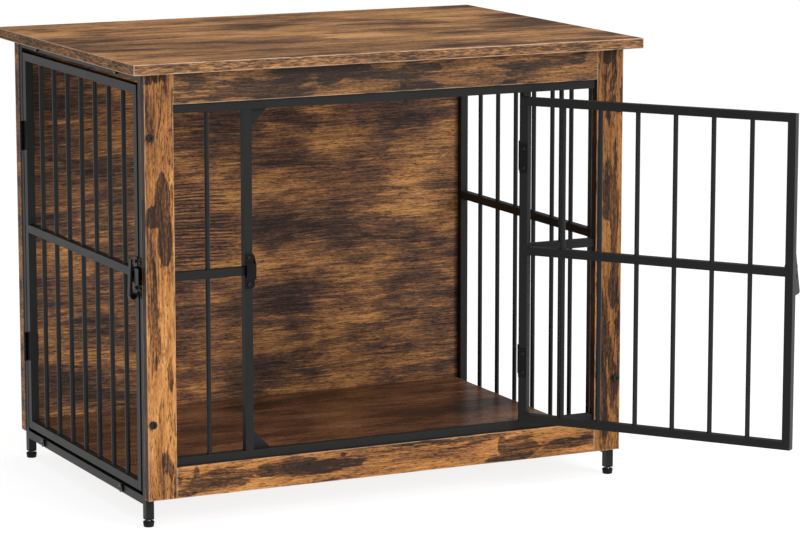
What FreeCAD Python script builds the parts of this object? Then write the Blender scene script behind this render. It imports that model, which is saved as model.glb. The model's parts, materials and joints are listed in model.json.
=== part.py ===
import FreeCAD, Part
import math
import os
import Sketcher

# Dog crate end table. Millimetres, +Z up. The origin is on the floor, below the middle
# of the top board; the front (wood surround with the barred front door) faces -Y, and
# the side door is in the left frame, on the -X side.

doc = FreeCAD.newDocument("DogCrateEndTable")
sheet = doc.addObject("Spreadsheet::Sheet", "Dims")


class Size:
    """A length or angle that knows its value and the sheet expression it comes from."""

    def __init__(self, value, text):
        self.value = float(value)
        self.text = text

    def __add__(self, other):
        other = size(other)
        return Size(self.value + other.value, f"({self.text} + {other.text})")

    def __radd__(self, other):
        return size(other) + self

    def __sub__(self, other):
        other = size(other)
        return Size(self.value - other.value, f"({self.text} - {other.text})")

    def __rsub__(self, other):
        return size(other) - self

    def __mul__(self, other):
        other = size(other)
        return Size(self.value * other.value, f"({self.text} * {other.text})")

    def __rmul__(self, other):
        return size(other) * self

    def __truediv__(self, other):
        other = size(other)
        return Size(self.value / other.value, f"({self.text} / {other.text})")

    def __neg__(self):
        return Size(-self.value, f"(0 - {self.text})")


def size(number):
    if isinstance(number, Size):
        return number
    return Size(number, repr(float(number)))


def cosine(angle):
    return Size(math.cos(math.radians(angle.value)), f"cos({angle.text})")


def sine(angle):
    return Size(math.sin(math.radians(angle.value)), f"sin({angle.text})")


sheet_rows = []


def dim(alias, number):
    """One driving dimension: a cell of the sheet with its alias."""
    sheet_rows.append(alias)
    row = len(sheet_rows)
    sheet.set(f"A{row}", alias)
    sheet.set(f"B{row}", repr(number))
    sheet.setAlias(f"B{row}", alias)
    return Size(number, f"Dims.{alias}")


# ---- driving dimensions ----------------------------------------------------------
# the whole table
top_width = dim("top_width", 800.0)
top_depth = dim("top_depth", 565.0)
table_height = dim("table_height", 658.0)
board_thickness = dim("board_thickness", 15.0)
side_overhang = dim("side_overhang", 22.5)
front_overhang = dim("front_overhang", 20.5)
rear_overhang = dim("rear_overhang", 22.5)
top_edge_bevel = dim("top_edge_bevel", 0.6)
# wood front surround
wood_bottom_height = dim("wood_bottom_height", 41.0)
stile_width = dim("stile_width", 43.0)
front_rail_height = dim("front_rail_height", 45.0)
low_bolt_height = dim("low_bolt_height", 150.0)
high_bolt_height = dim("high_bolt_height", 554.0)
# metal tube and bar stock
tube_size = dim("tube_size", 12.0)
tube_wall = dim("tube_wall", 1.0)
bar_diameter = dim("bar_diameter", 7.0)
bar_clearance = dim("bar_clearance", 0.05)
# side frames
frame_inset = dim("frame_inset", 1.5)
leg_bottom_height = dim("leg_bottom_height", 13.0)
side_rail_height = dim("side_rail_height", 31.5)
side_mid_rail_height = dim("side_mid_rail_height", 358.0)
cross_tube_front = dim("cross_tube_front", 92.0)
cross_tube_rear = dim("cross_tube_rear", 79.0)
cross_screw_distance = dim("cross_screw_distance", 60.0)
cross_end_plug = dim("cross_end_plug", 8.0)
floor_side_gap = dim("floor_side_gap", 4.0)
floor_end_gap = dim("floor_end_gap", 0.5)
# front grille
grille_recess = dim("grille_recess", 4.5)
grille_top_gap = dim("grille_top_gap", 1.0)
door_opening = dim("door_opening", 430.0)
front_mid_rail_height = dim("front_mid_rail_height", 356.0)
gusset_leg = dim("gusset_leg", 30.0)
gusset_overlap = dim("gusset_overlap", 8.0)
gusset_thickness = dim("gusset_thickness", 1.5)
# front door
front_hinge_gap = dim("front_hinge_gap", 3.0)
front_latch_gap = dim("front_latch_gap", 5.0)
front_gap_bottom = dim("front_gap_bottom", 3.5)
front_gap_top = dim("front_gap_top", 4.5)
door_proud = dim("door_proud", 0.4)
front_open_angle = dim("front_open_angle", 127.0)
front_hinge_distance = dim("front_hinge_distance", 88.5)
# side door
side_hinge_gap = dim("side_hinge_gap", 3.0)
side_latch_gap = dim("side_latch_gap", 6.0)
side_gap_bottom = dim("side_gap_bottom", 5.5)
side_gap_top = dim("side_gap_top", 7.0)
side_hinge_distance = dim("side_hinge_distance", 126.0)
# hinges
hinge_height = dim("hinge_height", 43.0)
hinge_standoff = dim("hinge_standoff", 3.2)
barrel_radius = dim("barrel_radius", 2.4)
pin_radius = dim("pin_radius", 1.3)
pin_head_radius = dim("pin_head_radius", 2.1)
pin_head_height = dim("pin_head_height", 0.8)
running_clearance = dim("running_clearance", 0.05)
leaf_thickness = dim("leaf_thickness", 1.1)
leaf_width = dim("leaf_width", 11.0)
knuckle_gap = dim("knuckle_gap", 0.3)
hinge_screw_offset = dim("hinge_screw_offset", 14.0)
# small screws
screw_radius = dim("screw_radius", 1.5)
screw_head_radius = dim("screw_head_radius", 2.8)
screw_head_height = dim("screw_head_height", 1.5)
screw_reach = dim("screw_reach", 4.0)
screw_clearance = dim("screw_clearance", 0.05)
# socket-head bolts
bolt_radius = dim("bolt_radius", 2.5)
bolt_head_radius = dim("bolt_head_radius", 5.6)
bolt_head_height = dim("bolt_head_height", 3.0)
bolt_reach = dim("bolt_reach", 9.0)
socket_radius = dim("socket_radius", 2.6)
socket_depth = dim("socket_depth", 1.8)
# wood screws
panel_screw_radius = dim("panel_screw_radius", 2.0)
panel_screw_head = dim("panel_screw_head", 3.8)
panel_screw_height = dim("panel_screw_height", 2.0)
panel_screw_end = dim("panel_screw_end", 60.0)
board_screw_bite = dim("board_screw_bite", 10.0)
# latches and keepers
latch_height = dim("latch_height", 50.0)
latch_plate = dim("latch_plate", 1.5)
latch_back = dim("latch_back", 1.5)
latch_screw_offset = dim("latch_screw_offset", 18.7)
latch_chamfer = dim("latch_chamfer", 3.5)
latch_travel = dim("latch_travel", 9.0)
slide_height = dim("slide_height", 17.0)
slide_thickness = dim("slide_thickness", 3.0)
slide_tail = dim("slide_tail", 12.0)
slide_tip = dim("slide_tip", 5.5)
slide_clearance = dim("slide_clearance", 0.3)
lip_thickness = dim("lip_thickness", 1.2)
lip_height = dim("lip_height", 5.4)
boss_height = dim("boss_height", 8.0)
boss_clearance = dim("boss_clearance", 0.5)
handle_width = dim("handle_width", 11.0)
handle_back = dim("handle_back", 7.5)
handle_standoff = dim("handle_standoff", 7.8)
handle_rise = dim("handle_rise", 22.0)
handle_drop = dim("handle_drop", 35.0)
front_handle_depth = dim("front_handle_depth", 25.0)
side_handle_depth = dim("side_handle_depth", 12.0)
handle_round = dim("handle_round", 1.8)
handle_top_thickness = dim("handle_top_thickness", 1.4)
handle_toe_height = dim("handle_toe_height", 5.0)
handle_toe_depth = dim("handle_toe_depth", 2.5)
handle_heel_depth = dim("handle_heel_depth", 5.0)
handle_heel_height = dim("handle_heel_height", 3.0)
handle_under_clearance = dim("handle_under_clearance", 2.0)
keeper_overhang = dim("keeper_overhang", 3.0)
keeper_inset = dim("keeper_inset", 0.5)
keeper_bridge = dim("keeper_bridge", 23.0)
keeper_room = dim("keeper_room", 5.9)
# feet
plug_flange = dim("plug_flange", 2.4)
plug_insert = dim("plug_insert", 10.0)
stud_radius = dim("stud_radius", 3.0)
stud_length = dim("stud_length", 36.0)
pad_top_radius = dim("pad_top_radius", 8.0)
pad_base_radius = dim("pad_base_radius", 7.2)
pad_height = dim("pad_height", 8.0)
pad_floor = dim("pad_floor", 2.0)
doc.recompute()

# ---- places that follow from the sizes -------------------------------------------
top_half = top_width / 2
depth_half = top_depth / 2
under_top = table_height - board_thickness
body_half = top_half - side_overhang
body_front = front_overhang - depth_half
body_back = depth_half - rear_overhang
wood_back = body_front + board_thickness
panel_front = body_back - board_thickness
frame_half = body_half - frame_inset
leg_inner = frame_half - tube_size
leg_middle = frame_half - tube_size / 2
front_leg_back = wood_back + tube_size
rear_leg_front = panel_front - tube_size
stile_inner = body_half - stile_width
lower_rail_top = wood_bottom_height + front_rail_height
upper_rail_bottom = under_top - front_rail_height
grille_front = body_front + grille_recess
grille_back = grille_front + tube_size
grille_top = upper_rail_bottom - grille_top_gap
opening_half = door_opening / 2
opening_bottom = lower_rail_top + tube_size
opening_top = grille_top - tube_size
side_opening_bottom = side_rail_height + tube_size
side_opening_top = under_top - tube_size
bar_radius = bar_diameter / 2
cross_front_y = wood_back + cross_tube_front
cross_rear_y = panel_front - cross_tube_rear
cross_low_z = side_rail_height + tube_size / 2
cross_high_z = under_top - tube_size / 2

# front door when shut, between the posts of the grille
door_outer = grille_front - door_proud
door_inner = door_outer + tube_size
door_hinge_x = opening_half - front_hinge_gap
door_latch_x = front_latch_gap - opening_half
door_bottom = opening_bottom + front_gap_bottom
door_top = opening_top - front_gap_top
front_axis_x = opening_half - front_hinge_gap / 2
front_axis_y = grille_front - hinge_standoff

# side door when shut, between the legs of the left frame
gate_outer = -frame_half
gate_inner = -leg_inner
gate_hinge_y = rear_leg_front - side_hinge_gap
gate_latch_y = front_leg_back + side_latch_gap
gate_bottom = side_opening_bottom + side_gap_bottom
gate_top = side_opening_top - side_gap_top
side_axis_x = gate_outer - hinge_standoff
side_axis_y = rear_leg_front - side_hinge_gap / 2

keeper_side = tube_size / 2 - keeper_inset
# the bolt's boss stops short of the keeper when the bolt is thrown
boss_front = front_latch_gap + tube_size / 2 - keeper_overhang - latch_travel - boss_clearance
sub_parts = []


def bind(obj, prop, amount):
    """Give a property its value and tie it to the sheet."""
    amount = size(amount)
    if not prop.startswith("Placement"):
        setattr(obj, prop, amount.value)
    obj.setExpression(prop, amount.text)


def put(obj, x, y, z):
    bind(obj, "Placement.Base.x", x)
    bind(obj, "Placement.Base.y", y)
    bind(obj, "Placement.Base.z", z)


def turned(obj, angle):
    obj.Placement.Rotation = FreeCAD.Rotation(FreeCAD.Vector(0, 0, 1), angle.value)
    obj.setExpression("Placement.Rotation.Angle", f"{angle.text} * 1 deg")


def block(name, x, y, z):
    """A box from its low and high coordinates along each axis."""
    box = doc.addObject("Part::Box", name)
    bind(box, "Length", size(x[1]) - x[0])
    bind(box, "Width", size(y[1]) - y[0])
    bind(box, "Height", size(z[1]) - z[0])
    put(box, x[0], y[0], z[0])
    return box


AXIS_TURNS = {
    "X": FreeCAD.Rotation(FreeCAD.Vector(0, 1, 0), 90),
    "Y": FreeCAD.Rotation(FreeCAD.Vector(1, 0, 0), -90),
    "Z": FreeCAD.Rotation(),
}


def rod(name, axis, radius, start, length):
    """A round bar from its start point, along +X, +Y or +Z."""
    cylinder = doc.addObject("Part::Cylinder", name)
    cylinder.Placement = FreeCAD.Placement(FreeCAD.Vector(), AXIS_TURNS[axis])
    bind(cylinder, "Radius", radius)
    bind(cylinder, "Height", length)
    put(cylinder, *start)
    return cylinder


def group(name, members):
    compound = doc.addObject("Part::Compound", name)
    compound.Links = members
    return compound


def cut(name, base, tools):
    if not tools:
        return base
    result = doc.addObject("Part::Cut", name)
    result.Base = base
    result.Tool = tools[0] if len(tools) == 1 else group(name + "_tools", tools)
    return result


def fuse(name, members):
    union = doc.addObject("Part::MultiFuse", name)
    union.Shapes = members
    return union


def finish(obj, label):
    obj.Label = label
    sub_parts.append(obj)
    return obj


def square_tube(name, axis, x, y, z, holes=()):
    """Square tube with open ends, its long side along the given axis."""
    outer = block(name + "_outer", x, y, z)
    spans = {"X": x, "Y": y, "Z": z}
    room = {}
    for key, span in spans.items():
        if key == axis:
            room[key] = (span[0] - size(1), size(span[1]) + 1)
        else:
            room[key] = (span[0] + tube_wall, size(span[1]) - tube_wall)
    inner = block(name + "_room", room["X"], room["Y"], room["Z"])
    return cut(name, outer, [inner] + list(holes))


def polygon_sketch(body, name, role, points):
    """Closed outline on one of the body's origin planes, every corner dimensioned."""
    sketch = body.newObject("Sketcher::SketchObject", name)
    plane = [item for item in body.Origin.OriginFeatures if item.Role == role][0]
    sketch.AttachmentSupport = [(plane, "")]
    sketch.MapMode = "FlatFace"
    corners = [(size(u), size(v)) for u, v in points]
    count = len(corners)
    for index in range(count):
        start = corners[index]
        end = corners[(index + 1) % count]
        first = FreeCAD.Vector(start[0].value, start[1].value, 0)
        second = FreeCAD.Vector(end[0].value, end[1].value, 0)
        sketch.addGeometry(Part.LineSegment(first, second), False)
    for index in range(count):
        joint = Sketcher.Constraint("Coincident", index, 2, (index + 1) % count, 1)
        sketch.addConstraint(joint)
    for index, (u, v) in enumerate(corners):
        for kind, amount in (("DistanceX", u), ("DistanceY", v)):
            rule = Sketcher.Constraint(kind, -1, 1, index, 1, amount.value)
            place = sketch.addConstraint(rule)
            sketch.setExpression(f"Constraints[{place}]", amount.text)
    return sketch


def plate(name, role, points, thickness):
    """A body padded from one outline, growing along the plane's normal."""
    body = doc.addObject("PartDesign::Body", name)
    sketch = polygon_sketch(body, name + "_outline", role, points)
    pad = body.newObject("PartDesign::Pad", name + "_pad")
    pad.Profile = sketch
    bind(pad, "Length", thickness)
    return body, pad


def turning(name, points):
    """A body turned about the Z axis from an outline in the XZ plane."""
    body = doc.addObject("PartDesign::Body", name)
    sketch = polygon_sketch(body, name + "_outline", "XZ_Plane", points)
    turned_body = body.newObject("PartDesign::Revolution", name + "_turn")
    turned_body.Profile = sketch
    turned_body.ReferenceAxis = (sketch, ["V_Axis"])
    turned_body.Angle = 360
    return body


def spread(low, high, count, width):
    """Middles of bars of one width, with equal clear gaps between two faces."""
    gap = (high - low - width * count) / (count + 1)
    return [low + gap * (index + 1) + width * index + width / 2 for index in range(count)]


# ---- fasteners -------------------------------------------------------------------
def socket_bolt(name, axis, point, sign, shank):
    """Socket-head bolt. The head stands outside point, the shank runs along sign."""
    x, y, z = (size(value) for value in point)
    offsets = {"X": (1, 0, 0), "Y": (0, 1, 0)}[axis]

    def along(start):
        return (x + start * offsets[0], y + start * offsets[1], z)

    head_start = -bolt_head_height if sign > 0 else size(0)
    shank_start = size(0) if sign > 0 else -shank
    head = rod(name + "_head", axis, bolt_head_radius, along(head_start), bolt_head_height)
    stem = rod(name + "_stem", axis, bolt_radius, along(shank_start), shank)
    key = doc.addObject("Part::Prism", name + "_key")
    key.Placement = FreeCAD.Placement(FreeCAD.Vector(), AXIS_TURNS[axis])
    key.Polygon = 6
    bind(key, "Circumradius", socket_radius)
    bind(key, "Height", socket_depth)
    key_start = -bolt_head_height if sign > 0 else bolt_head_height - socket_depth
    put(key, *along(key_start))
    return cut(name, fuse(name + "_blank", [head, stem]), [key])


def screw(name, axis, point, sign, shank, radius, head_radius, head_height):
    """Pan-head screw. The head stands outside point, the shank runs along sign."""
    x, y, z = (size(value) for value in point)
    offsets = {"X": (1, 0, 0), "Y": (0, 1, 0), "Z": (0, 0, 1)}[axis]

    def along(start):
        return (x + start * offsets[0], y + start * offsets[1], z + start * offsets[2])

    head_start = -head_height if sign > 0 else size(0)
    shank_start = size(0) if sign > 0 else -shank
    head = rod(name + "_head", axis, head_radius, along(head_start), head_height)
    stem = rod(name + "_stem", axis, radius, along(shank_start), shank)
    return fuse(name, [head, stem])


def small_screw(name, axis, point, sign, shank):
    return screw(name, axis, point, sign, shank, screw_radius, screw_head_radius, screw_head_height)


screw_hole = screw_radius + screw_clearance
bolt_hole = bolt_radius + screw_clearance
panel_hole = panel_screw_radius + screw_clearance


# ---- wood ------------------------------------------------------------------------
def top_board():
    corners = [
        (-top_half, -depth_half),
        (top_half, -depth_half),
        (top_half, depth_half),
        (-top_half, depth_half),
    ]
    body, pad = plate("top_blank", "XY_Plane", corners, board_thickness)
    bevel = body.newObject("PartDesign::Chamfer", "top_bevel")
    doc.recompute()
    edges = [f"Edge{index + 1}" for index in range(len(pad.Shape.Edges))]
    bevel.Base = (pad, edges)
    bind(bevel, "Size", top_edge_bevel)
    put(body, 0, 0, under_top)
    holes = []
    for side, x in enumerate((cross_screw_distance - leg_inner, leg_inner - cross_screw_distance)):
        for row, y in enumerate((cross_front_y, cross_rear_y)):
            start = (x, y, under_top - 1)
            name = f"top_hole_{side}{row}"
            holes.append(rod(name, "Z", panel_hole, start, board_screw_bite + 1.5))
    finish(cut("top_board_cut", body, holes), "top_board")


def back_panel():
    board = block(
        "back_blank", (-body_half, body_half), (panel_front, body_back), (wood_bottom_height, under_top)
    )
    holes = []
    for side, x in enumerate((-leg_middle, leg_middle)):
        for row, z in enumerate(panel_screw_heights):
            name = f"back_hole_{side}{row}"
            start = (x, panel_front - 1, z)
            holes.append(rod(name, "Y", panel_hole, start, board_thickness + 2))
    finish(cut("back_panel_cut", board, holes), "back_panel")


panel_screw_heights = [
    wood_bottom_height + panel_screw_end,
    (wood_bottom_height + under_top) / 2,
    under_top - panel_screw_end,
]


def floor_board():
    half = leg_inner - floor_side_gap
    board = block(
        "floor_blank",
        (-half, half),
        (wood_back + floor_end_gap, panel_front - floor_end_gap),
        (side_opening_bottom, side_opening_bottom + board_thickness),
    )
    holes = []
    for side, x in enumerate((cross_screw_distance - leg_inner, leg_inner - cross_screw_distance)):
        for row, y in enumerate((cross_front_y, cross_rear_y)):
            start = (x, y, side_opening_bottom - 1)
            name = f"floor_hole_{side}{row}"
            holes.append(rod(name, "Z", panel_hole, start, board_screw_bite + 1.5))
    finish(cut("floor_board_cut", board, holes), "floor_board")


def front_surround():
    for label, sign in (("front_stile_left", -1), ("front_stile_right", 1)):
        low = -body_half if sign < 0 else stile_inner
        high = -stile_inner if sign < 0 else body_half
        upright = (wood_bottom_height, under_top)
        blank = block(label + "_blank", (low, high), (body_front, wood_back), upright)
        holes = []
        for row, z in enumerate((low_bolt_height, high_bolt_height)):
            start = (leg_middle * sign, body_front - 1, z)
            name = f"{label}_hole_{row}"
            holes.append(rod(name, "Y", bolt_hole, start, board_thickness + 2))
        finish(cut(label + "_cut", blank, holes), label)
    across = (-stile_inner, stile_inner)
    lower = block("rail_low", across, (body_front, wood_back), (wood_bottom_height, lower_rail_top))
    finish(lower, "front_rail_lower")
    upper = block("rail_high", across, (body_front, wood_back), (upper_rail_bottom, under_top))
    finish(upper, "front_rail_upper")


# ---- side frames -----------------------------------------------------------------
def hinge_heights(low, high, inset):
    return (low + inset, high - inset)


front_hinge_heights = hinge_heights(door_bottom, door_top, front_hinge_distance)
side_hinge_heights = hinge_heights(gate_bottom, gate_top, side_hinge_distance)


def leg(label, side, y_span, holes):
    x_span = (-frame_half, -leg_inner) if side < 0 else (leg_inner, frame_half)
    tube = square_tube(label + "_tube", "Z", x_span, y_span, (leg_bottom_height, under_top), holes)
    finish(tube, label)


def legs():
    for side, word in ((-1, "left"), (1, "right")):
        holes = []
        for row, z in enumerate((low_bolt_height, high_bolt_height)):
            start = (leg_middle * side, wood_back - 1, z)
            holes.append(rod(f"{word}_front_bolt_{row}", "Y", bolt_hole, start, tube_wall + 2))
        if side < 0:
            for row, offset in enumerate((-latch_screw_offset, latch_screw_offset)):
                start = (-frame_half - 1, wood_back + tube_size / 2, side_mid_rail_height + offset)
                name = f"{word}_keeper_hole_{row}"
                holes.append(rod(name, "X", screw_hole, start, tube_wall + 2))
        leg(f"{word}_leg_front", side, (wood_back, front_leg_back), holes)
        holes = []
        for row, z in enumerate(panel_screw_heights):
            start = (leg_middle * side, panel_front - tube_wall - 1, z)
            name = f"{word}_panel_hole_{row}"
            holes.append(rod(name, "Y", panel_hole, start, tube_wall + 2))
        if side < 0:
            for row, z in enumerate(side_hinge_heights):
                for step, offset in enumerate((-hinge_screw_offset, hinge_screw_offset)):
                    start = (-leg_inner - tube_wall - 1, rear_leg_front + tube_size / 2, z + offset)
                    name = f"{word}_hinge_hole_{row}{step}"
                    holes.append(rod(name, "X", screw_hole, start, tube_wall + 2))
        leg(f"{word}_leg_rear", side, (rear_leg_front, panel_front), holes)


def side_rails():
    along = (front_leg_back, rear_leg_front)
    for side, word in ((-1, "left"), (1, "right")):
        x_span = (-frame_half, -leg_inner) if side < 0 else (leg_inner, frame_half)
        rails = []
        for row, low in enumerate((side_rail_height, side_opening_top)):
            holes = []
            for step, y in enumerate((cross_front_y, cross_rear_y)):
                start = (x_span[0] - 1, y, low + tube_size / 2)
                name = f"{word}_rail_hole_{row}{step}"
                holes.append(rod(name, "X", bolt_hole, start, tube_size + 2))
            name = f"{word}_rail_{row}"
            rails.append(square_tube(name, "Y", x_span, along, (low, low + tube_size), holes))
        if side > 0:
            rails.append(right_mid_rail(x_span, along))
        finish(group(f"{word}_rails", rails), f"{word}_frame_rails")


def right_mid_rail(x_span, along):
    """Middle rail of the fixed right panel, punched for its seven upright bars."""
    places = spread(front_leg_back, rear_leg_front, 7, bar_diameter)
    middle = leg_middle
    low = side_mid_rail_height - tube_size / 2
    punches = []
    bars = []
    for index, y in enumerate(places):
        start = (middle, y, low - 1)
        punch = rod(f"right_punch_{index}", "Z", bar_radius + bar_clearance, start, tube_size + 2)
        punches.append(punch)
        start = (middle, y, side_opening_bottom)
        length = side_opening_top - side_opening_bottom
        bars.append(rod(f"right_bar_{index}", "Z", bar_radius, start, length))
    finish(group("right_bars", bars), "right_frame_bars")
    return square_tube("right_mid", "Y", x_span, along, (low, low + tube_size), punches)


def cross_tubes():
    """Tubes that tie the side frames together, with plugged and threaded ends."""
    tubes = []
    for row, z in enumerate((cross_low_z, cross_high_z)):
        for step, y in enumerate((cross_front_y, cross_rear_y)):
            holes = []
            for side, x in enumerate((cross_screw_distance - leg_inner, leg_inner - cross_screw_distance)):
                start = (x, y, z - tube_size / 2 - 1)
                name = f"cross_hole_{row}{step}{side}"
                holes.append(rod(name, "Z", panel_hole, start, tube_size + 2))
            plug_start = leg_inner - cross_end_plug
            for side, x in enumerate((-leg_inner - 1, plug_start - 1)):
                name = f"cross_thread_{row}{step}{side}"
                holes.append(rod(name, "X", bolt_hole, (x, y, z), cross_end_plug + 2))
            half = tube_size / 2
            y_span = (y - half, y + half)
            z_span = (z - half, z + half)
            blank = block(f"cross_blank_{row}{step}", (-leg_inner, leg_inner), y_span, z_span)
            room = block(
                f"cross_room_{row}{step}",
                (-plug_start, plug_start),
                (y_span[0] + tube_wall, y_span[1] - tube_wall),
                (z_span[0] + tube_wall, z_span[1] - tube_wall),
            )
            tubes.append(cut(f"cross_{row}{step}", blank, [room] + holes))
    finish(group("cross_tube_set", tubes), "cross_tubes")


# ---- front grille ----------------------------------------------------------------
def front_grille():
    y_span = (grille_front, grille_back)
    rails = []
    for row, low in enumerate((lower_rail_top, opening_top)):
        name = f"grille_rail_{row}"
        across = (-stile_inner, stile_inner)
        rails.append(square_tube(name, "X", across, y_span, (low, low + tube_size)))
    finish(group("grille_rail_set", rails), "grille_rails")

    upright = (opening_bottom, opening_top)
    holes = []
    for row, z in enumerate(front_hinge_heights):
        for step, offset in enumerate((-hinge_screw_offset, hinge_screw_offset)):
            start = (opening_half + tube_size / 2, grille_back - tube_wall - 1, z + offset)
            name = f"post_hinge_hole_{row}{step}"
            holes.append(rod(name, "Y", screw_hole, start, tube_wall + 2))
    x_span = (opening_half, opening_half + tube_size)
    right = square_tube("post_right", "Z", x_span, y_span, upright, holes)
    holes = []
    for row, offset in enumerate((-latch_screw_offset, latch_screw_offset)):
        start = (-opening_half - tube_size / 2, grille_front - 1, front_mid_rail_height + offset)
        holes.append(rod(f"post_keeper_hole_{row}", "Y", screw_hole, start, tube_wall + 2))
    x_span = (-opening_half - tube_size, -opening_half)
    left = square_tube("post_left", "Z", x_span, y_span, upright, holes)
    finish(group("grille_post_set", [left, right]), "grille_posts")

    middle = (stile_inner + opening_half + tube_size) / 2
    rail_low = front_mid_rail_height - tube_size / 2
    mid_rails = []
    bars = []
    for side in (-1, 1):
        x = middle * side
        punch = rod(
            f"grille_punch_{side}",
            "Z",
            bar_radius + bar_clearance,
            (x, grille_front + tube_size / 2, rail_low - 1),
            tube_size + 2,
        )
        low = -stile_inner if side < 0 else opening_half + tube_size
        high = -opening_half - tube_size if side < 0 else stile_inner
        span = (rail_low, rail_low + tube_size)
        mid_rails.append(square_tube(f"grille_mid_{side}", "X", (low, high), y_span, span, [punch]))
        start = (x, grille_front + tube_size / 2, opening_bottom)
        bars.append(rod(f"grille_bar_{side}", "Z", bar_radius, start, opening_top - opening_bottom))
    finish(group("grille_mid_set", mid_rails), "grille_mid_rails")
    finish(group("grille_bar_set", bars), "grille_bars")

    # gussets on the back of the frame in the latch side's corners, which the shut door
    # stops against
    reach = gusset_leg + gusset_overlap
    gussets = []
    for word, corner_z, level in (("low", opening_bottom, -1), ("high", opening_top, 1)):
        points = [
            (-opening_half - gusset_overlap, corner_z + gusset_overlap * level),
            (reach - opening_half, corner_z + gusset_overlap * level),
            (-opening_half - gusset_overlap, corner_z - reach * level),
        ]
        body, pad = plate("gusset_" + word, "XZ_Plane", points, gusset_thickness)
        put(body, 0, grille_back + gusset_thickness, 0)
        gussets.append(body)
    finish(group("gusset_set", gussets), "grille_gussets")


# ---- doors -----------------------------------------------------------------------
def swing(obj):
    """Turn a piece drawn with the front door shut to the door's open rest angle."""
    angle = front_open_angle
    turned(obj, angle)
    x = front_axis_x * (1 - cosine(angle)) + front_axis_y * sine(angle)
    y = front_axis_y * (1 - cosine(angle)) - front_axis_x * sine(angle)
    put(obj, x, y, 0)
    return obj


def front_door():
    y_span = (door_outer, door_inner)
    upright = (door_bottom, door_top)
    holes = []
    for row, z in enumerate(front_hinge_heights):
        for step, offset in enumerate((-hinge_screw_offset, hinge_screw_offset)):
            start = (door_hinge_x - tube_size / 2, door_inner - tube_wall - 1, z + offset)
            name = f"door_hinge_hole_{row}{step}"
            holes.append(rod(name, "Y", screw_hole, start, tube_wall + 2))
    x_span = (door_hinge_x - tube_size, door_hinge_x)
    hinge_stile = square_tube("door_hinge_stile", "Z", x_span, y_span, upright, holes)
    holes = []
    for row, offset in enumerate((-latch_screw_offset, latch_screw_offset)):
        start = (door_latch_x + tube_size / 2, door_outer - 1, front_mid_rail_height + offset)
        holes.append(rod(f"door_latch_hole_{row}", "Y", screw_hole, start, tube_wall + 2))
    x_span = (door_latch_x, door_latch_x + tube_size)
    latch_stile = square_tube("door_latch_stile", "Z", x_span, y_span, upright, holes)
    finish(swing(group("door_stiles", [hinge_stile, latch_stile])), "front_door_stiles")

    low = door_latch_x + tube_size
    high = door_hinge_x - tube_size
    places = spread(low, high, 6, bar_diameter)
    rail_low = front_mid_rail_height - tube_size / 2
    punches = []
    bars = []
    middle = door_outer + tube_size / 2
    for index, x in enumerate(places):
        start = (x, middle, rail_low - 1)
        radius = bar_radius + bar_clearance
        punches.append(rod(f"door_punch_{index}", "Z", radius, start, tube_size + 2))
        start = (x, middle, door_bottom + tube_size)
        length = door_top - door_bottom - tube_size * 2
        bars.append(rod(f"door_bar_{index}", "Z", bar_radius, start, length))
    rails = []
    for row, z in enumerate((door_bottom, rail_low, door_top - tube_size)):
        tools = punches if row == 1 else []
        rails.append(square_tube(f"door_rail_{row}", "X", (low, high), y_span, (z, z + tube_size), tools))
    finish(swing(group("door_rails", rails)), "front_door_rails")
    finish(swing(group("door_bars", bars)), "front_door_bars")


def side_door():
    x_span = (gate_outer, gate_inner)
    upright = (gate_bottom, gate_top)
    holes = []
    for row, z in enumerate(side_hinge_heights):
        for step, offset in enumerate((-hinge_screw_offset, hinge_screw_offset)):
            start = (gate_inner - tube_wall - 1, gate_hinge_y - tube_size / 2, z + offset)
            name = f"gate_hinge_hole_{row}{step}"
            holes.append(rod(name, "X", screw_hole, start, tube_wall + 2))
    y_span = (gate_hinge_y - tube_size, gate_hinge_y)
    hinge_stile = square_tube("gate_hinge_stile", "Z", x_span, y_span, upright, holes)
    holes = []
    for row, offset in enumerate((-latch_screw_offset, latch_screw_offset)):
        start = (gate_outer - 1, gate_latch_y + tube_size / 2, side_mid_rail_height + offset)
        holes.append(rod(f"gate_latch_hole_{row}", "X", screw_hole, start, tube_wall + 2))
    y_span = (gate_latch_y, gate_latch_y + tube_size)
    latch_stile = square_tube("gate_latch_stile", "Z", x_span, y_span, upright, holes)
    finish(group("gate_stiles", [hinge_stile, latch_stile]), "side_door_stiles")

    low = gate_latch_y + tube_size
    high = gate_hinge_y - tube_size
    places = spread(low, high, 7, bar_diameter)
    rail_low = side_mid_rail_height - tube_size / 2
    punches = []
    bars = []
    middle = gate_outer + tube_size / 2
    for index, y in enumerate(places):
        start = (middle, y, rail_low - 1)
        radius = bar_radius + bar_clearance
        punches.append(rod(f"gate_punch_{index}", "Z", radius, start, tube_size + 2))
        start = (middle, y, gate_bottom + tube_size)
        length = gate_top - gate_bottom - tube_size * 2
        bars.append(rod(f"gate_bar_{index}", "Z", bar_radius, start, length))
    rails = []
    for row, z in enumerate((gate_bottom, rail_low, gate_top - tube_size)):
        tools = punches if row == 1 else []
        rails.append(square_tube(f"gate_rail_{row}", "Y", x_span, (low, high), (z, z + tube_size), tools))
    finish(group("gate_rails", rails), "side_door_rails")
    finish(group("gate_bars", bars), "side_door_bars")


# ---- hinges ----------------------------------------------------------------------
def local_block(name, flip, p, q, z):
    """A box in hinge or latch coordinates, mirrored across p = 0 when flip is -1."""
    low = size(p[0]) if flip > 0 else -size(p[1])
    high = size(p[1]) if flip > 0 else -size(p[0])
    return block(name, (low, high), q, z)


def knuckle_span(index, count=5):
    pitch = hinge_height / count
    low = pitch * index - hinge_height / 2
    start = low + knuckle_gap / 2
    return (start, low + pitch - knuckle_gap / 2)


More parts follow.
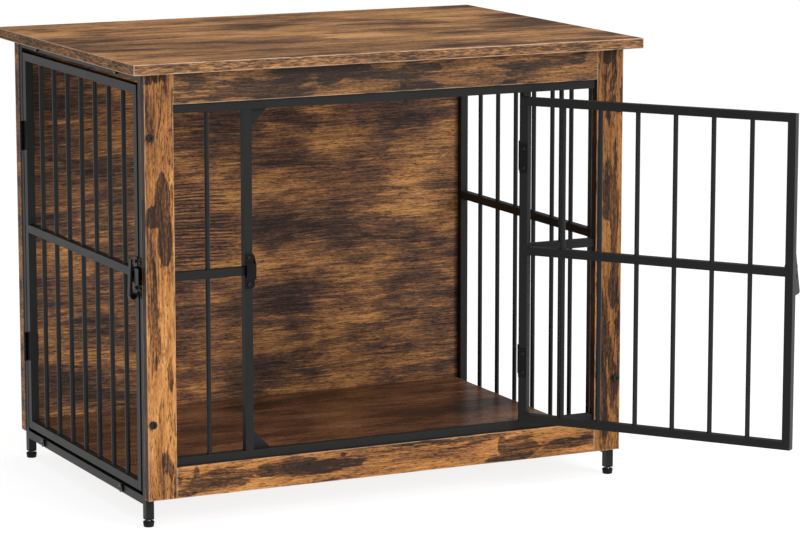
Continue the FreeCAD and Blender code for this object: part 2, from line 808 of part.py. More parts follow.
def hinge_leaf(name, flip, knuckles, gap, face, z):
    """Wrapping hinge leaf: barrel knuckles on the axis, a web through the gap beside
    the tube's end face, and a flange round the corner on the tube's inner face."""
    half = hinge_height / 2
    near = gap / 2 - leaf_thickness
    notch = barrel_radius + knuckle_gap
    web_end = face + tube_size + leaf_thickness
    web = local_block(
        name + "_web", flip, (near, gap / 2), (notch, web_end), (z - half, z + half)
    )
    flange = local_block(
        name + "_flange",
        flip,
        (near, gap / 2 + leaf_width),
        (face + tube_size, web_end),
        (z - half, z + half),
    )
    members = [web, flange]
    bores = []
    for index in knuckles:
        low, high = knuckle_span(index)
        start = (0, 0, z + low)
        members.append(rod(f"{name}_barrel_{index}", "Z", barrel_radius, start, high - low))
        members.append(
            local_block(
                f"{name}_strap_{index}",
                flip,
                (near, gap / 2),
                (0, notch + 0.5),
                (z + low, z + high),
            )
        )
        start = (0, 0, z + low - 0.5)
        radius = pin_radius + running_clearance
        bores.append(rod(f"{name}_bore_{index}", "Z", radius, start, high - low + 1))
    middle = gap / 2 + tube_size / 2
    for step, offset in enumerate((-hinge_screw_offset, hinge_screw_offset)):
        start = (middle * flip, face + tube_size - 1, z + offset)
        hole = rod(f"{name}_hole_{step}", "Y", screw_hole, start, leaf_thickness + 2)
        bores.append(hole)
    return cut(name, fuse(name + "_blank", members), bores)


def hinge_pin(name, z):
    half = hinge_height / 2
    stem = rod(name + "_stem", "Z", pin_radius, (0, 0, z - half), hinge_height)
    low = rod(name + "_foot", "Z", pin_head_radius, (0, 0, z - half - pin_head_height), pin_head_height)
    high = rod(name + "_head", "Z", pin_head_radius, (0, 0, z + half), pin_head_height)
    return fuse(name, [stem, low, high])


def hinge_screws(name, flip, gap, face, heights):
    """Screws through a leaf's flange into the tube, in hinge coordinates."""
    screws = []
    middle = (gap / 2 + tube_size / 2) * flip
    seat = face + tube_size + leaf_thickness
    for row, z in enumerate(heights):
        for step, offset in enumerate((-hinge_screw_offset, hinge_screw_offset)):
            point = (middle, seat, z + offset)
            reach = screw_reach + leaf_thickness
            screws.append(small_screw(f"{name}_{row}{step}", "Y", point, -1, reach))
    return screws


def hinges():
    """Each hinge has three knuckles on the fixed leaf and two on the door's leaf. Hinge
    coordinates: p runs from the fixed tube to the door, q runs into the crate."""
    sets = (
        ("front", -1, front_hinge_gap, front_hinge_heights, hinge_standoff - door_proud),
        ("side", 1, side_hinge_gap, side_hinge_heights, hinge_standoff),
    )
    placed_screws = []
    for word, flip, gap, heights, door_face in sets:
        fixed = []
        moving = []
        pins = []
        for row, z in enumerate(heights):
            name = f"{word}_fixed_leaf_{row}"
            fixed.append(hinge_leaf(name, -flip, (0, 2, 4), gap, hinge_standoff, z))
            name = f"{word}_door_leaf_{row}"
            moving.append(hinge_leaf(name, flip, (1, 3), gap, door_face, z))
            pins.append(hinge_pin(f"{word}_pin_{row}", z))
        fixed_set = group(f"{word}_fixed_leaf_set", fixed)
        moving_set = group(f"{word}_door_leaf_set", moving)
        pin_set = group(f"{word}_pin_set", pins)
        fixed_screws = hinge_screws(f"{word}_fixed_screw", -flip, gap, hinge_standoff, heights)
        fixed_screw_set = group(f"{word}_fixed_screw_set", fixed_screws)
        door_screws = hinge_screws(f"{word}_door_screw", flip, gap, door_face, heights)
        door_screw_set = group(f"{word}_door_screw_set", door_screws)
        if word == "front":
            for item in (fixed_set, pin_set, fixed_screw_set):
                put(item, front_axis_x, front_axis_y, 0)
            for item in (moving_set, door_screw_set):
                turned(item, front_open_angle)
                put(item, front_axis_x, front_axis_y, 0)
        else:
            for item in (fixed_set, pin_set, fixed_screw_set, moving_set, door_screw_set):
                turned(item, size(-90))
                put(item, side_axis_x, side_axis_y, 0)
        place = "post" if word == "front" else "leg"
        finish(fixed_set, f"{word}_hinge_{place}_leaves")
        finish(moving_set, f"{word}_hinge_door_leaves")
        finish(pin_set, f"{word}_hinge_pins")
        finish(door_screw_set, f"{word}_door_hinge_screws")
        placed_screws.append(fixed_screw_set)
    finish(group("fixed_hinge_screw_set", placed_screws), "fixed_hinge_screws")


# ---- latches ---------------------------------------------------------------------
# Latch coordinates: p runs from the door's latch stile towards the keeper, q runs in
# towards the tube (so outwards is -q), and z = 0 is the height of the middle rail.
def latch_outline(low, high, cut_side):
    """Plate outline with its two corners on one side chamfered."""
    half = latch_height / 2
    inner = latch_chamfer
    if cut_side > 0:
        return [
            (low, -half),
            (high - inner, -half),
            (high, inner - half),
            (high, half - inner),
            (high - inner, half),
            (low, half),
        ]
    return [
        (low + inner, -half),
        (high, -half),
        (high, half),
        (low + inner, half),
        (low, half - inner),
        (low, inner - half),
    ]


def mirrored(points, flip):
    if flip > 0:
        return points
    return [(-u, v) for u, v in reversed(points)]


def screw_holes(name, x, y, length):
    holes = []
    for row, offset in enumerate((-latch_screw_offset, latch_screw_offset)):
        holes.append(rod(f"{name}_{row}", "Y", screw_hole, (x, y, offset), length))
    return holes


def latch_case(name, flip):
    """Plate on the door's latch stile, with a lip above and below the sliding bolt."""
    low = -tube_size / 2 - latch_back
    high = tube_size / 2
    points = mirrored(latch_outline(low, high, -1), flip)
    body, pad = plate(name + "_plate", "XZ_Plane", points, latch_plate)
    members = [body]
    depth = slide_clearance * 2 + slide_thickness
    track = slide_height / 2 + slide_clearance
    for level in (-1, 1):
        word = "low" if level < 0 else "high"
        near = track if level > 0 else -track - lip_thickness
        far = near + lip_thickness
        q_wall = (-latch_plate - depth - lip_thickness, -latch_plate)
        members.append(local_block(f"{name}_wall_{word}", flip, (low, high), q_wall, (near, far)))
        outer = track + lip_thickness
        z_lip = (outer - lip_height, outer) if level > 0 else (-outer, lip_height - outer)
        q_lip = (-latch_plate - depth - lip_thickness, -latch_plate - depth)
        members.append(local_block(f"{name}_lip_{word}", flip, (low, high), q_lip, z_lip))
    holes = screw_holes(name + "_hole", 0, -latch_plate - 1, latch_plate + 2)
    return cut(name, fuse(name + "_blank", members), holes)


def latch_slide(name, flip):
    """Flat sliding bolt with the boss that carries the thumb piece."""
    near = -latch_plate - slide_clearance - slide_thickness
    half = slide_height / 2
    tongue = local_block(
        name + "_tongue",
        flip,
        (-slide_tail, slide_tip),
        (near, near + slide_thickness),
        (-half, half),
    )
    boss = local_block(
        name + "_boss",
        flip,
        (-handle_back, boss_front),
        (-handle_standoff, near + 1),
        (-boss_height / 2, boss_height / 2),
    )
    return fuse(name, [tongue, boss])


def latch_handle(name, flip, depth):
    """Wedge-shaped thumb piece over the bolt, which stands out at its foot by depth."""
    below = -latch_height / 2 - handle_under_clearance
    foot = -handle_drop
    top_face = -handle_standoff - handle_top_thickness
    points = [
        (-handle_standoff, handle_rise),
        (top_face, handle_rise),
        (-depth, foot + handle_toe_height),
        (handle_toe_depth - depth, foot + handle_toe_height / 5),
        (-handle_heel_depth, foot),
        (-latch_plate, foot + handle_heel_height),
        (-latch_plate, below),
        (-handle_standoff, below),
    ]
    body, pad = plate(name + "_blank", "YZ_Plane", points, handle_width)
    rounding = body.newObject("PartDesign::Fillet", name + "_round")
    doc.recompute()
    sloping = []
    for index, edge in enumerate(pad.Shape.Edges):
        first, last = edge.Vertexes[0].Point, edge.Vertexes[-1].Point
        heights = sorted((first.z, last.z))
        depths = sorted((first.y, last.y))
        long_edge = heights[1] - heights[0] > handle_drop.value
        if long_edge and depths[1] <= top_face.value + 0.01:
            sloping.append(f"Edge{index + 1}")
    rounding.Base = (pad, sloping)
    bind(rounding, "Radius", handle_round)
    put(body, -handle_back if flip > 0 else handle_back - handle_width, 0, 0)
    return group(name, [body])


def keeper(name, flip):
    """Keeper on the fixed tube: plate with chamfered corners and an open-ended bridge."""
    low = -tube_size / 2 - keeper_overhang
    high = keeper_side
    points = mirrored(latch_outline(low, high, -1), flip)
    body, pad = plate(name + "_plate", "XZ_Plane", points, latch_plate)
    half = keeper_bridge / 2
    outer = -keeper_room - lip_thickness
    wall_low = (outer, -latch_plate)
    members = [body]
    members.append(
        local_block(f"{name}_front", flip, (low, high), (outer, -keeper_room), (-half, half))
    )
    for word, span in (("under", (-half, lip_thickness - half)), ("over", (half - lip_thickness, half))):
        members.append(local_block(f"{name}_{word}", flip, (low, high), wall_low, span))
    holes = screw_holes(name + "_hole", 0, -latch_plate - 1, latch_plate + 2)
    return cut(name, fuse(name + "_blank", members), holes)


def plate_screws(name):
    screws = []
    for row, offset in enumerate((-latch_screw_offset, latch_screw_offset)):
        point = (0, -latch_plate, offset)
        reach = latch_plate + screw_reach
        screws.append(small_screw(f"{name}_{row}", "Y", point, 1, reach))
    return group(name, screws)


def latches():
    stile_x = door_latch_x + tube_size / 2
    angle = front_open_angle
    dx = stile_x - front_axis_x
    dy = door_outer - front_axis_y
    front_x = front_axis_x + dx * cosine(angle) - dy * sine(angle)
    front_y = front_axis_y + dx * sine(angle) + dy * cosine(angle)
    front_items = (
        (latch_case("front_case", -1), "front_latch_case"),
        (latch_slide("front_slide", -1), "front_latch_bolt"),
        (latch_handle("front_handle", -1, front_handle_depth), "front_latch_handle"),
        (plate_screws("front_case_screws"), "front_latch_screws"),
    )
    for item, label in front_items:
        turned(item, angle)
        put(item, front_x, front_y, front_mid_rail_height)
        finish(item, label)
    gate_y = gate_latch_y + tube_size / 2
    side_items = (
        (latch_case("side_case", 1), "side_latch_case"),
        (latch_slide("side_slide", 1), "side_latch_bolt"),
        (latch_handle("side_handle", 1, side_handle_depth), "side_latch_handle"),
        (plate_screws("side_case_screws"), "side_latch_screws"),
    )
    quarter = size(-90)
    for item, label in side_items:
        turned(item, quarter)
        put(item, gate_outer, gate_y, side_mid_rail_height)
        finish(item, label)

    front_keeper = keeper("front_catch", -1)
    put(front_keeper, -opening_half - tube_size / 2, grille_front, front_mid_rail_height)
    finish(front_keeper, "front_keeper")
    side_keeper = keeper("side_catch", 1)
    turned(side_keeper, quarter)
    put(side_keeper, -frame_half, wood_back + tube_size / 2, side_mid_rail_height)
    finish(side_keeper, "side_keeper")
    first = plate_screws("front_catch_screws")
    put(first, -opening_half - tube_size / 2, grille_front, front_mid_rail_height)
    second = plate_screws("side_catch_screws")
    turned(second, quarter)
    put(second, -frame_half, wood_back + tube_size / 2, side_mid_rail_height)
    finish(group("keeper_screw_set", [first, second]), "keeper_screws")


# ---- feet ------------------------------------------------------------------------
def leg_plugs():
    plugs = []
    room = tube_size / 2 - tube_wall
    half = tube_size / 2
    for index, (x, y) in enumerate(foot_places()):
        flange = block(
            f"plug_flange_{index}",
            (x - half, x + half),
            (y - half, y + half),
            (leg_bottom_height - plug_flange, leg_bottom_height),
        )
        stem = block(
            f"plug_stem_{index}",
            (x - room, x + room),
            (y - room, y + room),
            (leg_bottom_height - 0.5, leg_bottom_height + plug_insert),
        )
        start = (x, y, leg_bottom_height - plug_flange - 1)
        radius = stud_radius + running_clearance
        bore = rod(f"plug_bore_{index}", "Z", radius, start, plug_flange + plug_insert + 2)
        plugs.append(cut(f"plug_{index}", fuse(f"plug_blank_{index}", [flange, stem]), [bore]))
    finish(group("plug_set", plugs), "leg_plugs")


def foot_places():
    front = wood_back + tube_size / 2
    rear = panel_front - tube_size / 2
    return [
        (-leg_middle, front),
        (leg_middle, front),
        (-leg_middle, rear),
        (leg_middle, rear),
    ]


def feet():
    words = ("front_left", "front_right", "rear_left", "rear_right")
    hole = stud_radius + running_clearance
    for word, (x, y) in zip(words, foot_places()):
        outline = [
            (0, 0),
            (pad_base_radius - 0.6, 0),
            (pad_base_radius, 0.6),
            (pad_top_radius, pad_height - 2.4),
            (pad_top_radius, pad_height - 0.5),
            (pad_top_radius - 0.5, pad_height),
            (hole, pad_height),
            (hole, pad_floor),
            (0, pad_floor),
        ]
        pad = turning(f"pad_{word}", outline)
        put(pad, x, y, 0)
        finish(pad, f"foot_pad_{word}")
        stud = rod(f"stud_{word}", "Z", stud_radius, (x, y, pad_floor), stud_length)
        finish(stud, f"foot_stud_{word}")


# ---- bolts and wood screws -------------------------------------------------------
def stile_bolts():
    bolts = []
    for side in (-1, 1):
        for row, z in enumerate((low_bolt_height, high_bolt_height)):
            point = (leg_middle * side, body_front, z)
            name = f"stile_bolt_{side + 1}{row}"
            bolts.append(socket_bolt(name, "Y", point, 1, board_thickness + bolt_reach))
    finish(group("stile_bolt_set", bolts), "stile_bolts")


def rail_bolts():
    bolts = []
    for side in (-1, 1):
        for row, z in enumerate((cross_low_z, cross_high_z)):
            for step, y in enumerate((cross_front_y, cross_rear_y)):
                point = (frame_half * side, y, z)
                name = f"rail_bolt_{side + 1}{row}{step}"
                bolts.append(socket_bolt(name, "X", point, -side, tube_size + bolt_reach))
    finish(group("rail_bolt_set", bolts), "side_rail_bolts")


def cross_screws():
    screws = []
    places = (cross_screw_distance - leg_inner, leg_inner - cross_screw_distance)
    for row, z in enumerate((side_rail_height, side_opening_top)):
        for step, y in enumerate((cross_front_y, cross_rear_y)):
            for side, x in enumerate(places):
                name = f"cross_screw_{row}{step}{side}"
                screws.append(
                    screw(
                        name,
                        "Z",
                        (x, y, z),
                        1,
                        tube_size + board_screw_bite,
                        panel_screw_radius,
                        panel_screw_head,
                        panel_screw_height,
                    )
                )
    finish(group("cross_screw_set", screws), "board_screws")


def back_screws():
    screws = []
    for side in (-1, 1):
        for row, z in enumerate(panel_screw_heights):
            name = f"back_screw_{side + 1}{row}"
            point = (leg_middle * side, body_back, z)
            screws.append(
                screw(
                    name,
                    "Y",
                    point,
                    -1,
                    board_thickness + screw_reach,
                    panel_screw_radius,
                    panel_screw_head,
                    panel_screw_height,
                )
            )
    finish(group("back_screw_set", screws), "back_panel_screws")


top_board()
back_panel()
floor_board()
front_surround()
legs()
side_rails()
cross_tubes()
front_grille()
front_door()
side_door()
hinges()
latches()
leg_plugs()
feet()
stile_bolts()
rail_bolts()
cross_screws()
back_screws()
doc.recompute()

# ---- checks, then the files ------------------------------------------------------
faults = []
for item in doc.Objects:
    if "Invalid" in item.State or "Error" in item.State:
        faults.append(f"{item.Name}: {item.State}")
for item in sub_parts:
    if item.Shape.isNull() or not item.Shape.isValid():
        faults.append(f"{item.Label}: shape is null or not valid")
    elif not item.Shape.Solids:
        faults.append(f"{item.Label}: no solid")
labels = [item.Label for item in sub_parts]
if len(set(labels)) != len(labels):
    faults.append("two sub-parts share a label")
if faults:
    raise RuntimeError("; ".join(faults))

os.makedirs("parts", exist_ok=True)
for item in sub_parts:
    item.Shape.exportStep(f"parts/{item.Label}.step")
    box = item.Shape.BoundBox
    print(
        f"{item.Label:28s} solids {len(item.Shape.Solids):2d}  volume {item.Shape.Volume:12.1f}  "
        f"x {box.XMin:8.2f} {box.XMax:8.2f}  y {box.YMin:8.2f} {box.YMax:8.2f}  "
        f"z {box.ZMin:7.2f} {box.ZMax:7.2f}"
    )
print(len(sub_parts), "sub-parts")
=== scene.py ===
# %% [markdown]
# # A crate that serves as an end table
#
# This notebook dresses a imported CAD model: a wood-topped side table whose sides are
# barred steel panels. The CAD solids already have the right sizes and the right joints,
# so nothing here moves them. The lesson is about what makes such a model look real:
# printed wood grain, powder-coated tube with soft corners, small hardware and light.

import json
import math

import bmesh
import bpy
from mathutils import Matrix, Vector


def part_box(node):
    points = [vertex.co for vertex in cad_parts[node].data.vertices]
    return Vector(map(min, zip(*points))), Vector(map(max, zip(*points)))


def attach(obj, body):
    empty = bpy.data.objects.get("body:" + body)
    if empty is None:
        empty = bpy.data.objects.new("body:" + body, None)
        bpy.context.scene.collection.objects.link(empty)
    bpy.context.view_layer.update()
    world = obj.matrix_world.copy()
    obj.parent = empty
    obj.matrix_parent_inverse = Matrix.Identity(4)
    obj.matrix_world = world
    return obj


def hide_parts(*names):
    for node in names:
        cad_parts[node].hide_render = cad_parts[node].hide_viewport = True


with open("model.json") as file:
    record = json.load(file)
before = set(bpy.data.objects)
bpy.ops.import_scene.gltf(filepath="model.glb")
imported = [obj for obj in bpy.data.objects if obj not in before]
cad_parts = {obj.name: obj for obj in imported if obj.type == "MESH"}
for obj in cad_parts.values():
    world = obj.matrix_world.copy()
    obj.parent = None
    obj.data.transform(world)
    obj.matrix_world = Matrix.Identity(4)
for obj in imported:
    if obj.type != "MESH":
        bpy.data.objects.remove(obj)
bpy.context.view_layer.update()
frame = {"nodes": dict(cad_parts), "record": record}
nodes = frame["nodes"]


def rounded(point, digits=3):
    return tuple(round(value, digits) for value in point)


# %% [markdown]
# ## Camera
#
# A product picture like this one is taken from far away with a long lens, a little above
# the table top, so that parallel edges stay nearly parallel. The camera stands to the
# left of the table's front and looks slightly down. A plain tilted camera is used in
# place of a shifted lens, because a shift would follow the camera to every other view.

# %% Camera
CAMERA_PLACE = Vector((-2.1075, -4.6069, 1.1879))
CAMERA_HEADING = math.radians(26.018)
CAMERA_TILT = math.radians(9.884)
CAMERA_LENS = 154.05
SENSOR_WIDTH = 36.0
NEAREST, FARTHEST = 0.1, 100.0

camera_data = bpy.data.cameras.new("camera")
camera_data.lens = CAMERA_LENS
camera_data.sensor_width = SENSOR_WIDTH
camera_data.clip_start = NEAREST
camera_data.clip_end = FARTHEST
camera = bpy.data.objects.new("camera", camera_data)
bpy.context.scene.collection.objects.link(camera)
camera.location = CAMERA_PLACE
camera.rotation_euler = (math.pi / 2 - CAMERA_TILT, 0.0, -CAMERA_HEADING)
bpy.context.scene.camera = camera
print("camera at", tuple(CAMERA_PLACE), "with a", CAMERA_LENS, "mm lens")

# %% [markdown]
# ## Sums with sockets
#
# A material is a small program. Written node by node it is long and hard to read, so one
# class wraps a socket and lets Python's own operators add the Math nodes. `1 - mask` and
# `mask * 0.3 + 0.2` then mean what they say. A second class holds one node tree, and its
# `node` method makes every other node from a type, its settings and its inputs.


# %% Socket and shader classes
class Socket:
    """An output of a shader node that can be used in sums."""

    def __init__(self, shader, output):
        self.shader = shader
        self.output = output

    def maths(self, operation, first, second=0.0):
        return self.shader.node("ShaderNodeMath", {"operation": operation}, {0: first, 1: second})

    def __add__(self, other):
        return self.maths("ADD", self, other)

    __radd__ = __add__

    def __sub__(self, other):
        return self.maths("SUBTRACT", self, other)

    def __rsub__(self, other):
        return self.maths("SUBTRACT", other, self)

    def __mul__(self, other):
        return self.maths("MULTIPLY", self, other)

    __rmul__ = __mul__

    def __truediv__(self, other):
        return self.maths("DIVIDE", self, other)

    def __abs__(self):
        return self.maths("ABSOLUTE", self)

    def at_least(self, other):
        return self.maths("MAXIMUM", self, other)

    def at_most(self, other):
        return self.maths("MINIMUM", self, other)

    def step(self, low, high):
        """0 below low, 1 above high and a smooth rise in between."""
        settings = {"interpolation_type": "SMOOTHSTEP"}
        return self.shader.node("ShaderNodeMapRange", settings, {"Value": self, 1: low, 2: high})

    def sibling(self, name):
        return Socket(self.shader, self.output.node.outputs[name])


class Shader:
    """The node tree of one material or world."""

    def __init__(self, owner):
        owner.use_nodes = True
        self.owner = owner
        self.tree = owner.node_tree

    def node(self, kind, settings, inputs, output=0):
        """Add a node: its settings first, then its inputs, and give back one output."""
        node = self.tree.nodes.new(kind)
        for key, value in settings.items():
            if key == "stops":
                elements = node.color_ramp.elements
                while len(elements) < len(value):
                    elements.new(0.5)
                for element, (place, colour) in zip(elements, value):
                    element.position = place
                    element.color = (*colour, 1.0)
            else:
                setattr(node, key, value)
        for key, value in inputs.items():
            self.feed(node.inputs[key], value)
        return Socket(self, node.outputs[output])

    def feed(self, socket, value):
        if isinstance(value, Socket):
            self.tree.links.new(value.output, socket)
        elif isinstance(value, tuple) and socket.type == "RGBA":
            socket.default_value = (*value, 1.0)
        else:
            socket.default_value = value

    def mix(self, factor, first, second):
        """Mix two colours. The node's colour sockets are inputs 6 and 7 and output 2."""
        inputs = {0: factor, 6: first, 7: second}
        return self.node("ShaderNodeMix", {"data_type": "RGBA"}, inputs, 2)

    def end(self, name, **inputs):
        """Feed the node that ends the tree: a Principled shader or a Background."""
        for key, value in inputs.items():
            self.feed(self.tree.nodes[name].inputs[key.replace("_", " ")], value)

    def bump(self, height, strength, distance):
        inputs = {"Strength": strength, "Distance": distance, "Height": height}
        return self.node("ShaderNodeBump", {}, inputs)


print("socket and shader classes ready")

# %% [markdown]
# ## Pale floor
#
# The floor is one large sheet that fills the whole background, because the camera looks
# down on it. A real studio sweep is lit until it is nearly white everywhere. Here the
# sheet glows instead, over a dull base colour that throws little light back up at the
# table, and only a faint shadow is left under it.

# %% Floor
FLOOR_SIZE = 60.0
FLOOR_GLOW = 0.86
GLOW_SHADES = ((0.97, 0.97, 0.97), (1.0, 1.0, 1.0))
DULL_SHADES = ((0.26, 0.26, 0.26), (0.28, 0.28, 0.28))
FLOOR_CLOUD_SCALE = 1.5

half = FLOOR_SIZE / 2
corners = [(-half, -half, 0), (half, -half, 0), (half, half, 0), (-half, half, 0)]
floor_mesh = bpy.data.meshes.new("floor")
floor_mesh.from_pydata(corners, [], [(0, 1, 2, 3)])
floor = bpy.data.objects.new("floor", floor_mesh)
bpy.context.scene.collection.objects.link(floor)

sheet = Shader(bpy.data.materials.new("pale_floor"))
place = sheet.node("ShaderNodeTexCoord", {}, {}, "Object")
inputs = {"Vector": place, "Scale": FLOOR_CLOUD_SCALE, "Detail": 2.0}
cloud = sheet.node("ShaderNodeTexNoise", {}, inputs)
sheet.end(
    "Principled BSDF",
    Base_Color=sheet.mix(cloud, *DULL_SHADES),
    Emission_Color=sheet.mix(cloud, *GLOW_SHADES),
    Emission_Strength=FLOOR_GLOW,
    Roughness=0.9,
    Specular_IOR_Level=0.1,
)
floor.data.materials.append(sheet.owner)
print("floor", FLOOR_SIZE, "m wide")

# %% [markdown]
# ## Light
#
# A large soft panel stands in front and to the right, so that each round bar is brighter
# on its right half, and a weaker one hangs over the table. The world is a soft gradient
# rather than an even grey: bright above and in front, darker behind and to the left. Seen
# at a flat angle even a dull top shows some of what stands behind it, so the dark far
# side is what keeps the table top rich and not milky.


# %% Panel lights
LIGHT_AIM = Vector((0, 0, 0.4))


def panel_light(name, place, side, power):
    """A soft square light at place, turned towards the table."""
    data = bpy.data.lights.new(name, "AREA")
    data.shape = "RECTANGLE"
    data.size = side
    data.size_y = side
    data.energy = power
    light = bpy.data.objects.new(name, data)
    bpy.context.scene.collection.objects.link(light)
    light.location = place
    light.rotation_euler = (LIGHT_AIM - Vector(place)).to_track_quat("-Z", "Y").to_euler()


panel_light("front_panel", (2.2, -4.4, 2.4), side=2.4, power=150)
panel_light("top_panel", (0.3, -0.6, 3.6), side=2.6, power=50)
print("two panel lights")

# %% World
WORLD_RIGHT, WORLD_BACK, WORLD_UP = 0.38, -0.62, 0.55
WORLD_FADE = (-0.65, 0.75)
WORLD_DARK = (0.05, 0.05, 0.05)
WORLD_BRIGHT = (0.75, 0.75, 0.75)

air = Shader(bpy.data.worlds.new("studio"))
direction = air.node("ShaderNodeTexCoord", {}, {}, "Generated")
axes = air.node("ShaderNodeSeparateXYZ", {}, {"Vector": direction})
facing = axes.sibling("X") * WORLD_RIGHT + axes.sibling("Y") * WORLD_BACK
facing = facing + axes.sibling("Z") * WORLD_UP
gradient = air.mix(facing.step(*WORLD_FADE), WORLD_DARK, WORLD_BRIGHT)
air.end("Background", Color=gradient, Strength=1.0)
bpy.context.scene.world = air.owner
bpy.context.scene.view_settings.view_transform = "Standard"
print("a world from", WORLD_DARK[0], "to", WORLD_BRIGHT[0])

# %% [markdown]
# ## Printed rustic wood
#
# The boards are chipboard with a printed foil. The print is made of a few things on top
# of each other: torn dark patches that look burnt, longer light and dark streaks along
# the grain, and a fine grain of a few millimetres that gives the print its bite. Each is
# noise stretched along the grain, with its size given in millimetres. They are added up
# to one number, and a ramp of five tones turns that number into a colour, so the share of
# dark and light wood stays under control. Where the picture shows a large patch or a
# knot at a known place, an ellipse pushes the patch noise up or down there, and the noise
# still frays its edge.

# %% Stretched noise
MM = 0.001
AXES = "XYZ"


def stretched(shader, space, sizes, seed, detail=2.0, roughness=0.55):
    """Noise whose features have the given sizes (mm) along, across and through."""
    shifts = (seed, seed * 1.7, -seed)
    parts = [part * (1 / (size * MM)) + shift for part, size, shift in zip(space, sizes, shifts)]
    vector = shader.node("ShaderNodeCombineXYZ", {}, dict(zip(AXES, parts)))
    inputs = {"Vector": vector, "Scale": 1.0, "Detail": detail, "Roughness": roughness}
    return shader.node("ShaderNodeTexNoise", {}, inputs)


# how large each noise is along, across and through the board (mm), what it adds to the
# board's seed, its detail and its roughness
LAYERS = {
    "bend": ((260, 120, 120), 3.1, 1.0, 0.55),
    "fray": ((26, 3.4, 7), 11, 3.0, 0.68),
    "streak": ((110, 7, 60), 5, 3.0, 0.6),
    "fine": ((42, 1.9, 1.9), 23, 2.0, 0.65),
    "tiny": ((6, 1.6, 1.6), 31, 1.0, 0.55),
    "pore": ((10, 1.5, 1.5), 53, 1.0, 0.55),
    "dash": ((12, 1.3, 50), 71, 2.0, 0.7),
    "wash": ((70, 14, 50), 83, 2.0, 0.55),
}


def layer(shader, space, name, seed):
    """One of the noises that every board has."""
    sizes, seed_step, detail, roughness = LAYERS[name]
    return stretched(shader, space, sizes, seed + seed_step, detail, roughness)


print(len(LAYERS), "layers of noise")


# %% Marks on a board
STROKE_CORE = 0.4
STROKE_START = (-0.03, 0.05)
STROKE_END = (0.95, 1.03)


def ellipse(space, centre, radii):
    """1 at the centre of an ellipse on the board's face and 0 outside it, in mm."""
    along = (space[0] - centre[0] * MM) / (radii[0] * MM)
    across = (space[1] - centre[1] * MM) / (radii[1] * MM)
    return (1 - along * along - across * across).at_least(0.0)


def stroke(space, start, end, width):
    """A thin line on the face from start to end, each (along, across) in mm."""
    share = (space[0] - start[0] * MM) / ((end[0] - start[0]) * MM)
    middle = share * ((end[1] - start[1]) * MM) + start[1] * MM
    line = 1 - abs(space[1] - middle).step(width * MM * STROKE_CORE, width * MM)
    return line * share.step(*STROKE_START) * (1 - share.step(*STROKE_END))


def edge_gap(part, low, high):
    """Distance (m) to the nearer of two opposite faces."""
    return (part - low).at_most(high - part)


def arris(place, low, high, width):
    """1 on the long edges of a board, where two of its faces meet."""
    near = []
    for index, axis in enumerate(AXES):
        gap = edge_gap(place.sibling(axis), low[index], high[index])
        near.append(1 - gap.step(width * 0.5, width))
    return (near[0] * near[1] + near[1] * near[2] + near[0] * near[2]).at_most(1.0)


print("marks, strokes and edges ready")


# %% Patches and ripples
SLOW_THROUGH = 160
BEND_REACH = 0.018
FRAY_SHARE = 0.34
RIPPLE_WANDER = 7.0
RIPPLE_CREST = (0.45, 0.95)
RIPPLE_BORDER = (0.0, 0.5)


def board_space(shader, along, across, seed):
    """Object space split in three, and the same as (along, across, through) with a bend."""
    place = shader.node("ShaderNodeTexCoord", {}, {}, "Object")
    place = shader.node("ShaderNodeSeparateXYZ", {}, {"Vector": place})
    through = [axis for axis in AXES if axis not in (along, across)][0]
    u, v, w = (place.sibling(axis) for axis in (along, across, through))
    bend = layer(shader, (u, v, w), "bend", seed)
    return place, (u, v + (bend - 0.5) * BEND_REACH, w)


def burnt_patches(shader, space, fray, seed, patch, marks, level, soft):
    """1 inside the torn dark patches and 0 outside them."""
    sizes = (*patch, SLOW_THROUGH)
    patches = stretched(shader, space, sizes, seed, detail=3.0, roughness=0.6)
    for c_along, c_across, r_along, r_across, push in marks:
        patches = patches + ellipse(space, (c_along, c_across), (r_along, r_across)) * push
    torn = patches + (fray - 0.5) * FRAY_SHARE
    return torn.step(level - soft, level + soft)


def rippled(space, tone, wander, spacing, centre, radii, share):
    """Darken a tone in fine wavy lines inside an ellipse."""
    phase = space[1] * (2 * math.pi / (spacing * MM)) + wander * RIPPLE_WANDER
    wave = phase.maths("SINE", phase) * 0.5 + 0.5
    inside = ellipse(space, centre, radii).step(*RIPPLE_BORDER)
    return tone - wave.step(*RIPPLE_CREST) * inside * share


print("patches and ripples ready")


# %% Ink and edges
PORE_SHADE = 0.35
STROKE_SHADE = 0.4
STROKE_INK, STROKE_FRAY = 0.35, 0.8
BAND_BASE, BAND_DASHES, BAND_WASH = 0.38, 2.0, 0.8
BAND_DEPTH = (0.0001, 0.0004)
FLANK_DEPTH = (0.0008, 0.0016)
# the dark colour on the narrow edges of the front boards is painted shade
FLANK_SHADE_COLOUR = (0.028, 0.014, 0.010)


def shade(colour, share):
    return tuple(value * share for value in colour)


def inked(shader, space, colour, darkest, pores, fray, strokes):
    """Lay the dark pores and the thin strokes over a print."""
    colour = shader.mix(pores, colour, shade(darkest, PORE_SHADE))
    for start, end, width in strokes:
        line = stroke(space, start, end, width) * (fray * STROKE_FRAY + STROKE_INK)
        colour = shader.mix(line, colour, shade(darkest, STROKE_SHADE))
    return colour


def banded(shader, place, colour, stops, low, high, seed):
    """Cover the edges with the banding strip glued there, which has its own print."""
    x, y, z = (place.sibling(axis) for axis in AXES)
    dash = layer(shader, (x + y, z, z), "dash", seed)
    wash = layer(shader, (x + y, z, z), "wash", seed)
    tone = (dash - 0.5) * BAND_DASHES + (wash - 0.5) * BAND_WASH + BAND_BASE
    band = shader.node("ShaderNodeValToRGB", {"stops": stops}, {"Fac": tone})
    nearest = edge_gap(x, low[0], high[0]).at_most(edge_gap(y, low[1], high[1]))
    return shader.mix(1 - nearest.step(*BAND_DEPTH), colour, band)


